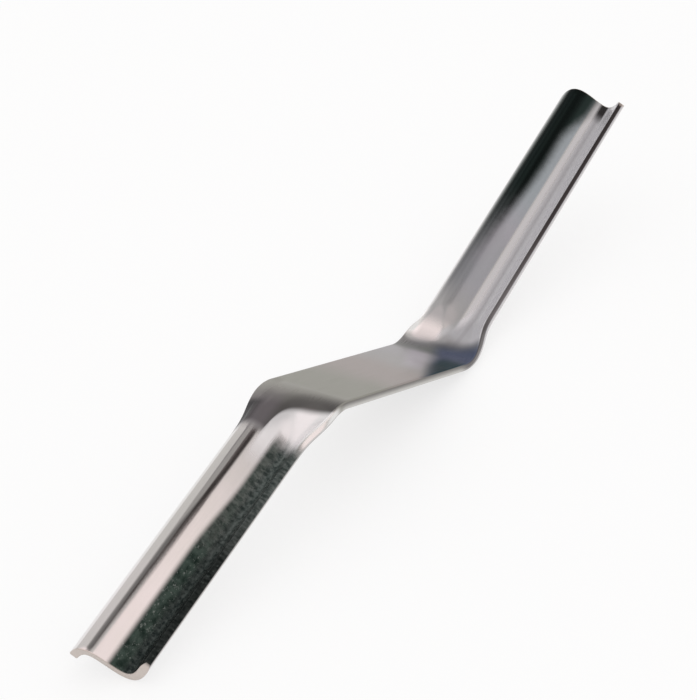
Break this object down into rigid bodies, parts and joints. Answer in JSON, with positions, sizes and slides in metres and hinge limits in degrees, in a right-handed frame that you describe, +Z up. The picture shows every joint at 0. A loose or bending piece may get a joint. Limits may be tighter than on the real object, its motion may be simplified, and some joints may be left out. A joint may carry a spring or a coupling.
{
  "type": "cable needle",
  "caption": "Cranked cable needle: a bright steel strip with an offset flat bridge for the held stitches and arms pressed to a shallow wave across their width.",
  "frame": {"origin": "on the table, below the middle of the needle's box, with the needle lying on its back", "axes": "+X from the tip of the short arm towards the tip of the long arm, +Y across the strip towards the hump of the wave, +Z up"},
  "size_m": [0.1122, 0.011, 0.0174],
  "materials": {
    "bright_steel": "bright rolled and plated steel with a faint grain along the strip and a bare cut edge"
  },
  "bodies": {
    "root": {"needle_strip": "bright_steel"}
  },
  "joints": []
}
